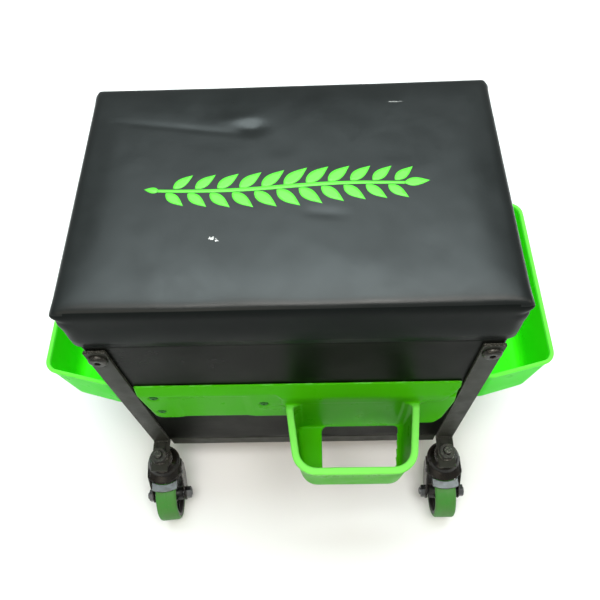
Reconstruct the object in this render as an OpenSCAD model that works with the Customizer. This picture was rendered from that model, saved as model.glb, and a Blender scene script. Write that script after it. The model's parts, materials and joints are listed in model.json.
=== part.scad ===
// Rolling garden work seat: a padded lid on a storage box, carried by a
// welded steel frame on four swivel casters, with three plastic tool trays.
// Millimetres, +Z up, the user sits facing -Y, the floor is z = 0.

/* [Seat] */
// Width of the padded lid
seat_w = 381; // [370:1:395]
// Depth of the padded lid
seat_d = 252; // [248:1:262]
// Height of the seat top above the floor
seat_top = 418; // [405:1:440]
// Thickness of the padded lid
lid_h = 60; // [50:1:66]
// Radius of the lid's rounded edges
seat_round = 12; // [8:1:16]
// Thickness of the leatherette cover
cover_t = 2; // [1.2:0.2:3]
// Thickness of the plywood lid board
lid_board_t = 9; // [6:1:12]
// How far the lid opens, in degrees
lid_open = 0; // [0:5:100]

/* [Storage box] */
// Outside width of the box
box_w = 366; // [360:1:370]
// Outside depth of the box
box_d = 249; // [244:1:252]
// Thickness of the box panels
panel_t = 6; // [5:0.5:8]
// Side of the square corner blocks
block_s = 20; // [16:1:24]

/* [Frame] */
// Width of the flat bar and of the angle iron flanges
bar_w = 20; // [18:1:22]
// Thickness of the steel
bar_t = 3; // [2:0.5:4]
// Height of the underside of the base rails
rail_z = 88; // [86:1:94]
// Drop of the hanging flange of the rails, from their top
rail_drop = 22; // [15:1:22]
// Height of the top end of the legs
leg_top = 350; // [320:1:354]
// Distance of the legs' middle from the seat's middle
leg_x = 172; // [168:1:172]
// Distance of the leg bolts below the top end of the legs
leg_bolt_drop = 13; // [10:1:20]

/* [Casters] */
// Distance of a caster's swivel axis from the box face
caster_out = 22.5; // [22:0.5:25]
// Distance of the axle behind the swivel axis
trail = 31; // [28:1:33]
// Radius of the wheel
wheel_r = 31.5; // [29:0.5:31.5]
// Width of the tread
wheel_w = 25; // [22:1:26]
// Angle that the left casters are turned at rest
yaw_left = 5; // [-10:1:10]
// Angle that the right casters are turned at rest
yaw_right = 0; // [-10:1:10]

/* [Trays] */
// Wall thickness of the moulded trays
tray_t = 2.8; // [2:0.2:3.6]
// Height of the side trays' rim
side_rim_z = 250; // [230:1:260]
// Height of the side trays' underside
side_floor_z = 185; // [160:1:200]
// How far a side tray's rim stands out from the box
side_reach = 78.5; // [60:0.5:90]
// Length of a side tray where it meets the box
side_len = 232; // [200:1:236]
// Height of the front tray's top edge
front_top_z = 268; // [255:1:280]
// Height of the bin's rim
bin_rim_z = 230; // [215:1:235]
// Height of the bin's underside
bin_floor_z = 153.5; // [140:0.5:170]
// Left end of the bin's rim
bin_x0 = -13; // [-16:1:-8]
// Right end of the bin's rim
bin_x1 = 124; // [120:1:135]
// How far the bin's rim stands out from the box
bin_reach = 80; // [60:0.5:84]

/* [Hidden] */
$fn = 48;
gap = 0.05;
// box
box_z = rail_z + bar_t;
lid_z = seat_top - lid_h;
box_top = lid_z - 0.3;
face_y = box_d / 2;
side_x = box_w / 2;
floor_t = 6;
// hinge of the lid
hinge_x = 105;
hinge_len = 60;
knuckle_r = 2.9;
hinge_pin_r = 1.5;
leaf_t = 1.5;
hinge_y = seat_d / 2 + knuckle_r + 0.5;
screw_dx = [-20, 0, 20];
upper_screw_z = lid_z + 6;
lower_screw_z = lid_z - 16;
// casters: swivel axis, axle height and heights of the swivel head
caster_y = face_y + caster_out;
axle_r = 4;
stem_r = 5;
fork_w = 42;
fork_t = 2.5;
crown_z = 65;
crown_top = 67.5;
dome_top = 80.3;
dome_r = 19.5;
crown_front = 27;
crown_back = 3;
neck_w = 35;
boss_r = 9;
hub_r = 28;
hub_w = 33;
tread_round = 3;
brake_pin_y = -13;
brake_pin_z = 62;
brake_pin_r = 2;
brake_reach = 36.5;
brake_w = 26;
brake_z = 64.4;
brake_t = 2;
tab_end = caster_y + 17;
leg_bolt_z = leg_top - leg_bolt_drop;
// the assembly is moved along Y so that its origin is under the middle of
// its bounding box: from the front wheels to the rear swivel heads
function wheel_ahead(yaw) = (trail + wheel_r - tread_round) * cos(yaw)
    + (wheel_w / 2 - tread_round) * abs(sin(yaw)) + tread_round;
front_reach = caster_y + max(wheel_ahead(yaw_left), wheel_ahead(yaw_right));
rear_reach = caster_y + dome_r;
shift_y = (front_reach - rear_reach) / 2;
// casters, in the order front left, front right, rear left, rear right
CASTER_AT = [[-leg_x, -caster_y], [leg_x, -caster_y], [-leg_x, caster_y], [leg_x, caster_y]];
// corners of the box, as signs
CORNERS = [[-1, -1], [1, -1], [-1, 1], [1, 1]];
tray_half = 160.5;
pad_z = 187;
bin_r = 25;
bin_taper = 6;
bin_draft = 5;
front_screw_at = [[-145, 245], [-145, 206], [-35, 225]];
side_screw_y = 62;
side_screw_z = side_rim_z - 16;
floor_bolt_x = 110;
floor_bolt_y = face_y - 14.5;

// ---- placing -------------------------------------------------------------

module seat_frame() {
    translate([0, shift_y, 0]) children();
}

// the lid's pieces turn about the hinge pin
module on_lid() {
    seat_frame()
        translate([0, hinge_y, lid_z]) rotate([-lid_open, 0, 0]) translate([0, -hinge_y, -lid_z])
            children();
}

// local frame of a caster: Z is the swivel axis, the wheel trails towards -Y
module on_caster(i) {
    yaw = CASTER_AT[i][0] < 0 ? yaw_left : yaw_right;
    seat_frame()
        translate([CASTER_AT[i][0], CASTER_AT[i][1], 0]) rotate([0, 0, yaw]) children();
}

// turns a Z-up cylinder at a height so that it runs along X
module along_x(y, z) {
    translate([0, y, z]) rotate([0, 90, 0]) children();
}

// a pin or hole along Y, from y0 to y1
module rod_y(x, z, y0, y1, r) {
    translate([x, y0, z]) rotate([-90, 0, 0]) cylinder(r = r, h = y1 - y0);
}

module hex(across, h) {
    cylinder(r = across / 2 / cos(30), h = h, $fn = 6);
}

module rounded_rect(x0, y0, x1, y1, r) {
    hull()
        for (x = [x0 + r, x1 - r], y = [y0 + r, y1 - r])
            translate([x, y]) circle(r = r, $fn = 32);
}

// ---- steel frame ---------------------------------------------------------

// angle iron across the front or the back: flat flange under the box,
// the other one hanging flush with the box face
module cross_rail(side) {
    half = leg_x - bar_w / 2;
    color("dimgray") seat_frame() scale([1, side, 1]) difference() {
        union() {
            translate([-half, face_y - bar_w, rail_z]) cube([2 * half, bar_w, bar_t]);
            translate([-half, face_y - bar_t, box_z - rail_drop])
                cube([2 * half, bar_t, rail_drop]);
        }
        for (x = [-floor_bolt_x, floor_bolt_x])
            translate([x, floor_bolt_y, rail_z - 1]) cylinder(r = 3 + gap, h = bar_t + 2);
    }
}

// angle iron along a side: its flat flange runs on past the box at both
// ends as the tabs that the casters hang from
module side_rail(side) {
    x_in = leg_x - bar_w / 2;
    color("dimgray") seat_frame() scale([side, 1, 1]) difference() {
        union() {
            translate([x_in, -tab_end, rail_z]) cube([bar_w, 2 * tab_end, bar_t]);
            translate([x_in + bar_w - bar_t, -face_y + bar_t, box_z - rail_drop])
                cube([bar_t, 2 * (face_y - bar_t), rail_drop]);
        }
        for (y = [-caster_y, caster_y])
            translate([leg_x, y, rail_z - 1]) cylinder(r = stem_r + gap, h = bar_t + 2);
    }
}

// flat bar standing on the tab against the box face
module leg(sx, sy) {
    color("dimgray") seat_frame() scale([sx, sy, 1]) difference() {
        translate([leg_x - bar_w / 2, face_y, box_z]) cube([bar_w, bar_t, leg_top - box_z]);
        rod_y(leg_x, leg_bolt_z, face_y - 1, face_y + bar_t + 1, 4 + gap);
    }
}

module leg_screws() {
    color("silver") seat_frame()
        for (c = CORNERS) scale([c[0], c[1], 1])
            translate([leg_x, face_y + bar_t, leg_bolt_z]) rotate([-90, 0, 0])
                rotate_extrude()
                    polygon([[0, -bar_t - panel_t - 14], [2.5, -bar_t - panel_t - 14],
                        [4, -bar_t - panel_t - 10], [4, 0], [9, 0], [9, 1.6],
                        [7.4, 3.2], [4.4, 4.2], [0, 4.4]]);
}

// ---- box -----------------------------------------------------------------

module face_panel(side) {
    color("black") seat_frame() scale([1, side, 1]) difference() {
        translate([-side_x, face_y - panel_t, box_z]) cube([box_w, panel_t, box_top - box_z]);
        for (x = [-leg_x, leg_x])
            rod_y(x, leg_bolt_z, face_y - panel_t - 1, face_y + 1, 4 + gap);
        if (side < 0) {
            for (p = front_screw_at)
                rod_y(p[0], p[1], face_y - panel_t + 1, face_y + 1, 2 + gap);
        } else {
            for (s = [-1, 1], dx = screw_dx)
                rod_y(s * hinge_x + dx, lower_screw_z, face_y - panel_t + 1, face_y + 1, 1.5 + gap);
        }
    }
}

module side_panel(side) {
    color("black") seat_frame() scale([side, 1, 1]) difference() {
        translate([side_x - panel_t, -face_y + panel_t, box_z])
            cube([panel_t, box_d - 2 * panel_t, box_top - box_z]);
        for (y = [-side_screw_y, side_screw_y])
            along_x(y, side_screw_z)
                translate([0, 0, side_x - panel_t + 1]) cylinder(r = 2 + gap, h = panel_t);
    }
}

module box_floor() {
    color("burlywood") seat_frame() difference() {
        translate([-side_x + panel_t, -face_y + panel_t, box_z])
            cube([box_w - 2 * panel_t, box_d - 2 * panel_t, floor_t]);
        for (x = [-1, 1], y = [-1, 1])
            translate([x * floor_bolt_x, y * floor_bolt_y, box_z - 1])
                cylinder(r = 3 + gap, h = floor_t + 2);
    }
}

module corner_blocks() {
    inner = side_x - panel_t;
    color("burlywood") seat_frame()
        for (c = CORNERS) scale([c[0], c[1], 1]) difference() {
            translate([inner - block_s, face_y - panel_t - block_s, box_z + floor_t])
                cube([block_s, block_s, box_top - box_z - floor_t - 4]);
            rod_y(leg_x, leg_bolt_z, face_y - panel_t - 15, face_y - panel_t + 1, 4 + gap);
        }
}

module floor_bolts() {
    color("silver") seat_frame()
        for (x = [-1, 1], y = [-1, 1])
            translate([x * floor_bolt_x, y * floor_bolt_y, 0]) union() {
                translate([0, 0, rail_z - 7]) cylinder(r = 3, h = 7 + bar_t + floor_t);
                translate([0, 0, box_z + floor_t]) cylinder(r1 = 6, r2 = 4, h = 2.5);
            }
}

module floor_nuts() {
    color("silver") seat_frame()
        for (x = [-1, 1], y = [-1, 1])
            translate([x * floor_bolt_x, y * floor_bolt_y, rail_z - 5]) difference() {
                hex(10, 5);
                translate([0, 0, -1]) cylinder(r = 3 + gap, h = 7);
            }
}

// ---- trays ---------------------------------------------------------------

// plan of a side tray at one height: a trapezoid with round outer corners,
// dx and dy draw it in from the rim, inset draws in every side
module side_plan(dx, dy, inset) {
    r = 15;
    hull() {
        for (s = [-1, 1]) {
            translate([side_x + side_reach - dx - r, s * (side_len / 2 - dy - 14 - r)])
                circle(r = r - inset, $fn = 32);
            translate([side_x + 26, s * (side_len / 2 - dy - r)])
                circle(r = r - inset, $fn = 32);
        }
        translate([side_x + inset, -side_len / 2 + dy + 3 + inset])
            square([6, side_len - 2 * dy - 6 - 2 * inset]);
    }
}

module side_solid(z0, z1, dx0, dy0, inset) {
    hull() {
        translate([0, 0, z0]) linear_extrude(0.01) side_plan(dx0, dy0, inset);
        translate([0, 0, z1 - 0.01]) linear_extrude(0.01) side_plan(0, 0, inset);
    }
}

module side_tray(side) {
    color("limegreen") seat_frame() scale([side, 1, 1]) difference() {
        side_solid(side_floor_z, side_rim_z, 14, 8, 0);
        side_solid(side_floor_z + tray_t, side_rim_z + 0.02, 13.5, 7.6, tray_t);
        for (y = [-side_screw_y, side_screw_y])
            along_x(y, side_screw_z)
                translate([0, 0, side_x - 1]) cylinder(r = 2 + gap, h = tray_t + 2);
    }
}

// flat outline of the front tray's back plate, x across and z up
module front_plate_plan() {
    union() {
        rounded_rect(-tray_half, pad_z, bin_x0 + 1, front_top_z, 3);
        translate([-60, front_top_z - 34]) square([200, 34]);
        rounded_rect(112, 208, tray_half, front_top_z, 3);
        translate([bin_x0 + 6, bin_floor_z]) square([bin_x1 - bin_x0 - 12, 100]);
    }
}

// the raised fields run up to the plate's top corners at their outer ends
module left_pad_plan() {
    union() {
        rounded_rect(-157, pad_z, -17, 254, 12);
        polygon([[-tray_half, front_top_z - 1], [-151, 254], [-145, 242], [-157, 200],
            [-tray_half, 215]]);
    }
}

module right_pad_plan() {
    polygon([[bin_x1 - 12, 231], [142, 231], [150, 242], [tray_half, front_top_z - 1],
        [tray_half, 222], [155, 172], [149, 155], [bin_x1 - 12, 155]]);
}

// plan of the bin, narrower towards its round outer corners
module bin_plan(inset) {
    hull() {
        for (x = [bin_x0 + bin_taper + bin_r, bin_x1 - bin_taper - bin_r])
            translate([x, -face_y - bin_reach + bin_r]) circle(r = bin_r - inset);
        translate([bin_x0 + inset, -face_y - 10])
            square([bin_x1 - bin_x0 - 2 * inset, 10]);
    }
}

module bin_opening() {
    hull() {
        for (x = [24 + 13, 110 - 13])
            translate([x, -face_y - 52]) circle(r = 13);
        for (x = [24 + 6, 110 - 6])
            translate([x, -face_y - 15]) circle(r = 6);
    }
}

module bin_solid(z0, z1, draft, inset) {
    hull() {
        translate([0, 0, z0]) linear_extrude(0.01) bin_plan(draft + inset);
        translate([0, 0, z1 - 0.01]) linear_extrude(0.01) bin_plan(inset);
    }
}

// upright slab that stands off the box face, y0 to y1 measured from it
module on_face(y0, y1) {
    translate([0, -face_y - y0, 0]) rotate([90, 0, 0]) linear_extrude(y1 - y0) children();
}

module front_tray() {
    color("limegreen") seat_frame() difference() {
        union() {
            on_face(0, tray_t) front_plate_plan();
            on_face(0, 7) left_pad_plan();
            on_face(0, 7) right_pad_plan();
            bin_solid(bin_floor_z, bin_rim_z, bin_draft, 0);
        }
        // the bin's hollow stops short of the back plate
        difference() {
            bin_solid(bin_floor_z + tray_t, bin_rim_z + 0.02, bin_draft - 0.2, tray_t);
            on_face(-1, tray_t) translate([bin_x0, bin_floor_z]) square([150, 100]);
        }
        // opening through the bin's floor
        translate([0, 0, bin_floor_z - 1]) linear_extrude(tray_t + 2) bin_opening();
        for (p = front_screw_at) {
            rod_y(p[0], p[1], -face_y - 8, -face_y - 4.5, 5);
            rod_y(p[0], p[1], -face_y - 8, -face_y + 1, 2 + gap);
        }
    }
}

module front_tray_screws() {
    color("darkgreen") seat_frame()
        for (p = front_screw_at) union() {
            rod_y(p[0], p[1], -face_y - 6.3, -face_y - 4.5, 4.4);
            rod_y(p[0], p[1], -face_y - 5, -face_y + 4.5, 2);
        }
}

module side_tray_screws() {
    head_x = side_x + tray_t;
    color("silver") seat_frame()
        for (s = [-1, 1], y = [-side_screw_y, side_screw_y])
            scale([s, 1, 1]) along_x(y, side_screw_z) union() {
                translate([0, 0, side_x - 4.5]) cylinder(r = 2, h = 4.5 + tray_t + 1);
                translate([0, 0, head_x]) cylinder(r1 = 4.5, r2 = 3.4, h = 2.2);
            }
}

// ---- lid -----------------------------------------------------------------

// block with a round top edge and round upright corners
module cushion_solid(inset, z0, z1) {
    r = seat_round - inset;
    hull()
        for (x = [-1, 1], y = [-1, 1])
            translate([x * (seat_w / 2 - seat_round), y * (seat_d / 2 - seat_round), 0]) {
                translate([0, 0, z1 - r]) sphere(r = r, $fn = 24);
                translate([0, 0, z0]) cylinder(r = r, h = 1, $fn = 24);
            }
}

module upper_screw_holes() {
    for (s = [-1, 1], dx = screw_dx)
        rod_y(s * hinge_x + dx, upper_screw_z, seat_d / 2 - 12, seat_d / 2 + 1, 1.5 + gap);
}

module seat_cover() {
    color("black") on_lid() difference() {
        cushion_solid(0, lid_z, seat_top);
        cushion_solid(cover_t, lid_z - 1, seat_top - cover_t);
        upper_screw_holes();
    }
}

module seat_foam() {
    color("lightyellow") on_lid()
        cushion_solid(cover_t + 0.2, lid_z + lid_board_t + 0.2, seat_top - cover_t - 0.2);
}

module lid_board() {
    inset = cover_t + 0.2;
    color("burlywood") on_lid() difference() {
        translate([0, 0, lid_z]) linear_extrude(lid_board_t)
            rounded_rect(-seat_w / 2 + inset, -seat_d / 2 + inset,
                seat_w / 2 - inset, seat_d / 2 - inset, seat_round - inset);
        upper_screw_holes();
    }
}

// ---- lid hinges ----------------------------------------------------------

// knuckles along X, the even ones on the upper leaf, the odd ones below
module knuckles(first) {
    step = hinge_len / 5;
    for (k = [first:2:4])
        along_x(hinge_y, lid_z) translate([0, 0, -hinge_len / 2 + k * step + 0.15])
            cylinder(r = knuckle_r, h = step - 0.3);
}

// flat leaf from its own screws up or down to its knuckles
module leaf(y_face, z0, z1, first, z_screw) {
    step = hinge_len / 5;
    difference() {
        union() {
            translate([-hinge_len / 2, y_face, z0]) cube([hinge_len, leaf_t, z1 - z0]);
            for (k = [first:2:4])
                translate([-hinge_len / 2 + k * step + 0.15, y_face, min(z0, lid_z)])
                    cube([step - 0.3, leaf_t, max(z1, lid_z) - min(z0, lid_z)]);
            knuckles(first);
            for (k = [first:2:4])
                translate([-hinge_len / 2 + k * step + 0.15, y_face, lid_z - (z0 < lid_z ? 1.5 : 0)])
                    cube([step - 0.3, hinge_y - y_face, 1.5]);
        }
        along_x(hinge_y, lid_z) cylinder(r = hinge_pin_r + gap, h = hinge_len + 2, center = true);
        for (dx = screw_dx)
            rod_y(dx, z_screw, y_face - 1, y_face + leaf_t + 1, 1.5 + gap);
    }
}

module hinge_leaves_lower() {
    color("gray") seat_frame()
        for (s = [-1, 1]) translate([s * hinge_x, 0, 0])
            leaf(face_y, lid_z - 24, lid_z - 4, 1, lower_screw_z);
}

module hinge_leaves_upper() {
    color("gray") on_lid()
        for (s = [-1, 1]) translate([s * hinge_x, 0, 0])
            leaf(seat_d / 2, lid_z + 4, lid_z + 13, 0, upper_screw_z);
}

module hinge_pins() {
    color("silver") seat_frame()
        for (s = [-1, 1]) translate([s * hinge_x, 0, 0])
            along_x(hinge_y, lid_z) cylinder(r = hinge_pin_r, h = hinge_len + 1, center = true);
}

module hinge_screw(y_face, z, depth) {
    for (s = [-1, 1], dx = screw_dx) union() {
        rod_y(s * hinge_x + dx, z, y_face - depth, y_face + leaf_t + 0.5, 1.5);
        rod_y(s * hinge_x + dx, z, y_face + leaf_t, y_face + leaf_t + 1, 2.8);
    }
}

module hinge_screws_lower() {
    color("silver") seat_frame() hinge_screw(face_y, lower_screw_z, panel_t - 1.5);
}

module hinge_screws_upper() {
    color("silver") on_lid() hinge_screw(seat_d / 2, upper_screw_z, 11);
}

// ---- casters -------------------------------------------------------------

// fixed upper race under the tab
module caster_cups() {
    color("dimgray")
        for (i = [0:3]) on_caster(i) rotate_extrude()
            polygon([[stem_r + gap, dome_top + 0.5], [11, dome_top + 0.5], [13.5, dome_top + 3],
                [13.5, rail_z], [stem_r + gap, rail_z]]);
}

module caster_stems() {
    color("silver")
        for (i = [0:3]) on_caster(i) rotate_extrude()
            polygon([[0, 73], [8.5, 73], [8.5, 77.4], [stem_r, 77.4], [stem_r, box_z + 12],
                [stem_r - 1, box_z + 13], [0, box_z + 13]]);
}

module caster_washers() {
    color("silver")
        for (i = [0:3]) on_caster(i) translate([0, 0, box_z]) difference() {
            cylinder(r = 9.8, h = 2);
            translate([0, 0, -1]) cylinder(r = stem_r + gap, h = 4);
        }
}

module caster_nuts() {
    color("silver")
        for (i = [0:3]) on_caster(i) translate([0, 0, box_z + 2]) difference() {
            intersection() {
                hex(17, 8);
                cylinder(r1 = 12.5, r2 = 8.7, h = 8);
            }
            translate([0, 0, -1]) cylinder(r = stem_r + gap, h = 10);
        }
}

// side of the fork: wide under the crown, narrow round the axle
module fork_side() {
    union() {
        translate([-trail, wheel_r]) circle(r = boss_r);
        polygon([[crown_back - 1, crown_top], [crown_back - 2, 52], [-6, 41],
            [-trail + boss_r * cos(50), wheel_r - boss_r * sin(50)],
            [-trail - boss_r * cos(15), wheel_r + boss_r * sin(15)],
            [-16, crown_top]]);
    }
}

module crown_plan() {
    intersection() {
        circle(r = crown_front);
        translate([-fork_w / 2, -crown_front]) square([fork_w, crown_front + crown_back]);
    }
}

// round swivel head that runs out over the front of the crown
module neck() {
    intersection() {
        rotate_extrude()
            polygon([[0, crown_z], [crown_front - 1, crown_z], [crown_front - 1, crown_top],
                [dome_r, 71.5], [16.5, 76], [11, dome_top], [0, dome_top]]);
        translate([0, 0, crown_z]) linear_extrude(dome_top - crown_z) union() {
            circle(r = dome_r);
            translate([-neck_w / 2, -crown_front]) square([neck_w, crown_front]);
        }
    }
}

module fork(i, braked) {
    color("black") on_caster(i) difference() {
        union() {
            translate([0, 0, crown_z]) linear_extrude(crown_top - crown_z) crown_plan();
            neck();
            for (s = [-1, 1])
                translate([s * (fork_w - fork_t) / 2, 0, 0]) rotate([90, 0, 90])
                    linear_extrude(fork_t, center = true) fork_side();
        }
        cylinder(r = stem_r + gap, h = dome_top + 1);
        translate([0, 0, crown_z - 1]) cylinder(r = 11.5, h = 13.7);
        along_x(-trail, wheel_r) cylinder(r = axle_r + gap, h = fork_w + 2, center = true);
        if (braked)
            along_x(brake_pin_y, brake_pin_z)
                cylinder(r = brake_pin_r + gap, h = fork_w + 2, center = true);
    }
}

module axle_bolt(i) {
    color("silver") on_caster(i) along_x(-trail, wheel_r) union() {
        cylinder(r = axle_r, h = fork_w + 13, center = true);
        translate([0, 0, -fork_w / 2 - 4.5]) hex(13, 4.5);
    }
}

module axle_nut(i) {
    color("silver") on_caster(i) along_x(-trail, wheel_r) translate([0, 0, fork_w / 2])
        difference() {
            hex(13, 5.5);
            translate([0, 0, -1]) cylinder(r = axle_r + gap, h = 8);
        }
}

// hub with a deep rim, a thin web and a long boss on the axle
module hub(i) {
    color("black") on_caster(i) along_x(-trail, wheel_r) rotate_extrude()
        polygon([[axle_r + gap, -hub_w / 2], [8, -hub_w / 2], [9.5, -4], [20, -4],
            [20.5, -11], [hub_r, -11.5], [hub_r, 11.5], [20.5, 11], [20, 4], [9.5, 4],
            [8, hub_w / 2], [axle_r + gap, hub_w / 2]]);
}

module tread(i) {
    half = wheel_w / 2;
    color("limegreen") on_caster(i) along_x(-trail, wheel_r) rotate_extrude($fn = 96)
        difference() {
            union() {
                translate([hub_r, -half]) square([wheel_r - tread_round - hub_r, wheel_w]);
                translate([hub_r, -half + tread_round])
                    square([wheel_r - hub_r, wheel_w - 2 * tread_round]);
                for (s = [-1, 1])
                    translate([wheel_r - tread_round, s * (half - tread_round)])
                        circle(r = tread_round, $fn = 32);
            }
            translate([hub_r - 4, -half - 1]) square([4, wheel_w + 2]);
        }
}

// stamped lever: a curved toe in front of the crown on two side ears
module brake_lever(i) {
    color("silver") on_caster(i) difference() {
        union() {
            translate([0, 0, brake_z]) linear_extrude(brake_t) intersection() {
                difference() {
                    circle(r = brake_reach);
                    circle(r = crown_front + 0.8);
                }
                translate([-brake_w / 2 - 2.5, -brake_reach - 1]) square([brake_w + 5, 20]);
            }
            for (s = [-1, 1])
                translate([s * (brake_w / 2 + 1.5), 0, 0]) rotate([90, 0, 90])
                    linear_extrude(2, center = true)
                        polygon([[-9.5, brake_z], [-9.5, 59], [-15, 57.5], [-31, 61],
                            [-31, brake_z + 1], [-26, brake_z + 1], [-25, brake_z]]);
        }
        along_x(brake_pin_y, brake_pin_z)
            cylinder(r = brake_pin_r + gap, h = fork_w, center = true);
    }
}

module brake_pin(i) {
    color("silver") on_caster(i) along_x(brake_pin_y, brake_pin_z)
        cylinder(r = brake_pin_r, h = fork_w + 1.5, center = true);
}

// ---- nodes ---------------------------------------------------------------

cross_rail(-1);  // rail_front
cross_rail(1);  // rail_rear
side_rail(-1);  // rail_left
side_rail(1);  // rail_right
leg(-1, -1);  // leg_front_left
leg(1, -1);  // leg_front_right
leg(-1, 1);  // leg_rear_left
leg(1, 1);  // leg_rear_right
face_panel(-1);  // box_front_panel
face_panel(1);  // box_back_panel
side_panel(-1);  // box_left_panel
side_panel(1);  // box_right_panel
box_floor();
corner_blocks();
leg_screws();
floor_bolts();
floor_nuts();
front_tray();
side_tray(-1);  // left_tray
side_tray(1);  // right_tray
front_tray_screws();
side_tray_screws();
hinge_leaves_lower();
hinge_pins();
hinge_screws_lower();
caster_stems();
caster_nuts();
caster_washers();
caster_cups();
lid_board();
seat_foam();
seat_cover();
hinge_leaves_upper();
hinge_screws_upper();
fork(0, true);  // fork_fl
fork(1, true);  // fork_fr
fork(2, false);  // fork_rl
fork(3, false);  // fork_rr
axle_bolt(0);  // axle_bolt_fl
axle_bolt(1);  // axle_bolt_fr
axle_bolt(2);  // axle_bolt_rl
axle_bolt(3);  // axle_bolt_rr
axle_nut(0);  // axle_nut_fl
axle_nut(1);  // axle_nut_fr
axle_nut(2);  // axle_nut_rl
axle_nut(3);  // axle_nut_rr
hub(0);  // hub_fl
hub(1);  // hub_fr
hub(2);  // hub_rl
hub(3);  // hub_rr
tread(0);  // tread_fl
tread(1);  // tread_fr
tread(2);  // tread_rl
tread(3);  // tread_rr
brake_lever(0);  // brake_lever_fl
brake_lever(1);  // brake_lever_fr
brake_pin(0);  // brake_pin_fl
brake_pin(1);  // brake_pin_fr
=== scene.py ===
"""Looks of the rolling garden work seat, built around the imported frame."""
import json
import math
import random

import bmesh
import bpy
from mathutils import Matrix, Vector, noise
from mathutils.bvhtree import BVHTree

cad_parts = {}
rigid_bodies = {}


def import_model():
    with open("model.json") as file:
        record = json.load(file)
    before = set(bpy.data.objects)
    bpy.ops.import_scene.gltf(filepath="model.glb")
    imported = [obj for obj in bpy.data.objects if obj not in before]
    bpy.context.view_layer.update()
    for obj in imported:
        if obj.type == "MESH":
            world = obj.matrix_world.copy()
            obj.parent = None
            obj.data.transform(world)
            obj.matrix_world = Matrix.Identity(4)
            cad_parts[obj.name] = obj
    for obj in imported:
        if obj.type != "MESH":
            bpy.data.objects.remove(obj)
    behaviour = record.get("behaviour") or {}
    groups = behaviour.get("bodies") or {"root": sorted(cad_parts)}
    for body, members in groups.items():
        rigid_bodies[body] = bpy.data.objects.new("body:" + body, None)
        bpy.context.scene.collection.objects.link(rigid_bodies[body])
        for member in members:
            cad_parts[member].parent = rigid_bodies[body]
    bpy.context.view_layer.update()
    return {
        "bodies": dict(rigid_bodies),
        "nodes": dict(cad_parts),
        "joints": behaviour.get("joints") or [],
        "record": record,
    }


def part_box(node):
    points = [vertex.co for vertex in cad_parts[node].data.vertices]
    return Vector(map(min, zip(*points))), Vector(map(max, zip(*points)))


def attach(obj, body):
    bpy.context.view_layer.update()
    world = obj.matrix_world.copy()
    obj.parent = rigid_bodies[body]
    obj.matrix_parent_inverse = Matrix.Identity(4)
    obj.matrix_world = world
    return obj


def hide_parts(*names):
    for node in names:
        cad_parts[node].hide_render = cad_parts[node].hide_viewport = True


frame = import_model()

# ---- places, in millimetres from the floor under the seat's middle ---------

MM = 0.001
SEAT_LO, SEAT_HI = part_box("seat_cover")
MID_Y = (SEAT_LO.y + SEAT_HI.y) / 2


def P(x, y, z):
    """A point given in millimetres, in metres in the row frame."""
    return Vector((x * MM, y * MM + MID_Y, z * MM))


def node_box(node):
    """Lowest and highest corner of a CAD node, in millimetres."""
    lo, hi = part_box(node)
    return [[lo.x / MM, (lo.y - MID_Y) / MM, lo.z / MM], [hi.x / MM, (hi.y - MID_Y) / MM, hi.z / MM]]


SEAT = node_box("seat_cover")
PANEL = node_box("box_front_panel")
LEG = node_box("leg_front_right")
FACE_Y = -PANEL[0][1]
SIDE_X = PANEL[1][0]
PANEL_T = PANEL[1][1] - PANEL[0][1]
BOX_Z0, BOX_Z1 = PANEL[0][2], PANEL[1][2]
# Signs of x and y at the four corners
CORNERS = [(-1, -1), (1, -1), (-1, 1), (1, 1)]
# The bin's left and right sides and its foremost line
BIN = (-13, 124, node_box("front_tray")[0][1])
# Heights of the bin's rim and of its floor's underside, and thickness of its wall
BIN_RIM, BIN_FLOOR, BIN_WALL = 230, node_box("front_tray")[0][2], 2.9
# Places of the front tray's screws, across and up
TRAY_SCREWS = [(-145, 245), (-145, 206), (-35, 225)]
CASTERS = ["fl", "fr", "rl", "rr"]
# Gap that keeps moulded parts just off the faces they lie against
CLEAR = 0.02

# ---- mesh helpers ----------------------------------------------------------


def add_object(name, mesh):
    obj = bpy.data.objects.new(name, mesh)
    bpy.context.scene.collection.objects.link(obj)
    return obj


def smooth(obj, on=True):
    """Sets smooth or flat shading on every face."""
    for face in obj.data.polygons:
        face.use_smooth = on


def make(name, verts, faces, material=None, shade=True):
    """An object from vertices and faces, with doubled points welded and normals outward."""
    mesh = bpy.data.meshes.new(name)
    mesh.from_pydata([tuple(v) for v in verts], [], faces)
    bm = bmesh.new()
    bm.from_mesh(mesh)
    bmesh.ops.remove_doubles(bm, verts=bm.verts, dist=1e-7)
    bmesh.ops.recalc_face_normals(bm, faces=bm.faces)
    bm.to_mesh(mesh)
    bm.free()
    obj = add_object(name, mesh)
    smooth(obj, shade)
    if material:
        mesh.materials.append(material)
    return obj


def loft(rings, cap_first=True, cap_last=True, closed=False):
    """Vertices and faces of a skin over rings that have the same number of points."""
    count = len(rings[0])
    verts = [p for ring in rings for p in ring]
    faces = []
    last = len(rings) if closed else len(rings) - 1
    for i in range(last):
        a, b = i * count, (i + 1) % len(rings) * count
        for k in range(count):
            n = (k + 1) % count
            faces.append((a + k, a + n, b + n, b + k))
    if not closed and cap_first:
        faces.append(tuple(reversed(range(count))))
    if not closed and cap_last:
        faces.append(tuple(range((len(rings) - 1) * count, len(rings) * count)))
    return verts, faces


def join(name, parts, material=None):
    """One object out of lists of vertices and faces."""
    verts, faces = [], []
    for part_verts, part_faces in parts:
        start = len(verts)
        verts += list(part_verts)
        faces += [tuple(start + i for i in f) for f in part_faces]
    return make(name, verts, faces, material)


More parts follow.
